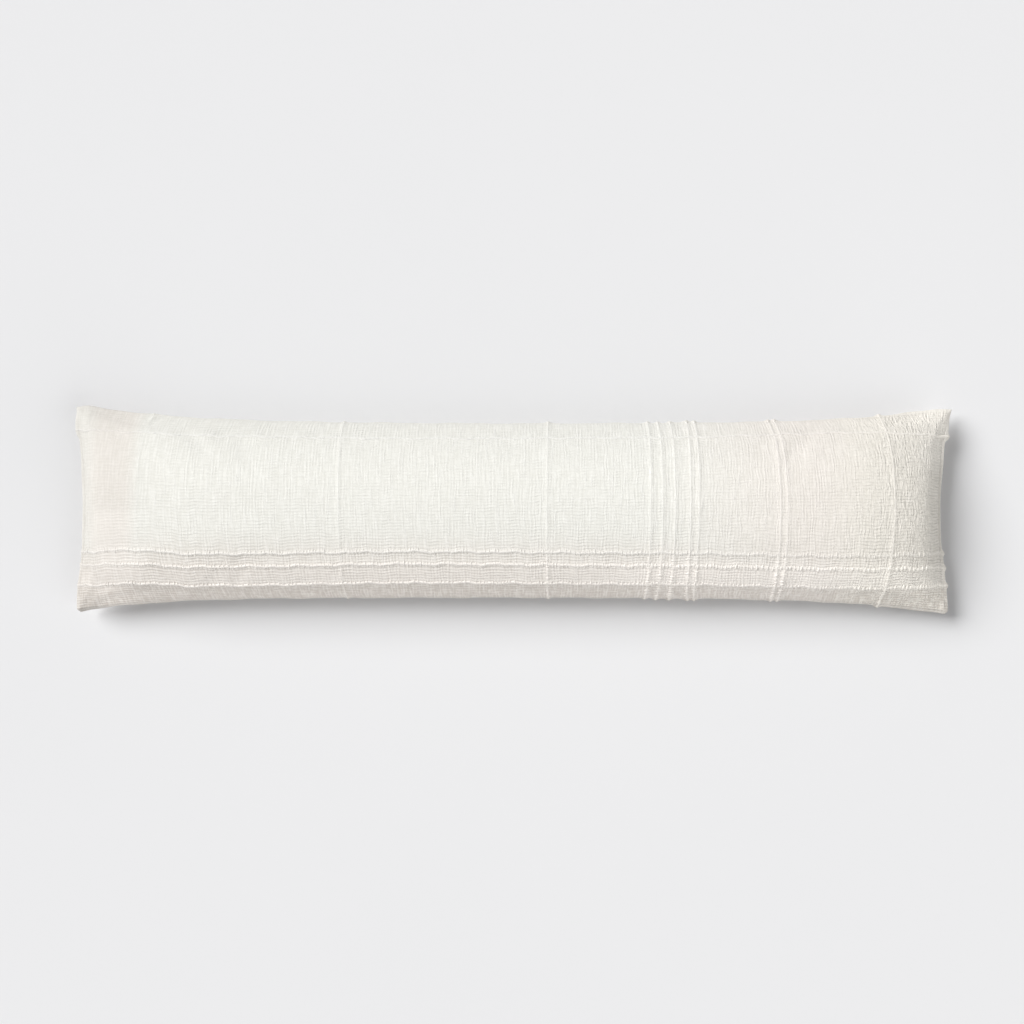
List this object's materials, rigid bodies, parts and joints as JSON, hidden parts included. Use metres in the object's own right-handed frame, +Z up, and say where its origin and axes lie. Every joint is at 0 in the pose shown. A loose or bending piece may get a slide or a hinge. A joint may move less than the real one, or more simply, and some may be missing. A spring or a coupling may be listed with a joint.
{
  "type": "lumbar pillow",
  "caption": "Extra-long filled lumbar pillow with a cream slub cotton cover, knife-edge seams and raised cords woven across and along its top panel, lying on its back.",
  "frame": {"origin": "centre of the pillow's box, on the surface that it lies on", "axes": "+X along the pillow's length, +Y across its width towards the far side seam, +Z up through its thickness, with the corded panel on top"},
  "size_m": [1.5084, 0.358, 0.1349],
  "materials": {
    "cover_cloth": "matt, slub plain weave of undyed cotton with thick soft cords"
  },
  "bodies": {
    "root": {"pillow": "cover_cloth"}
  },
  "joints": []
}
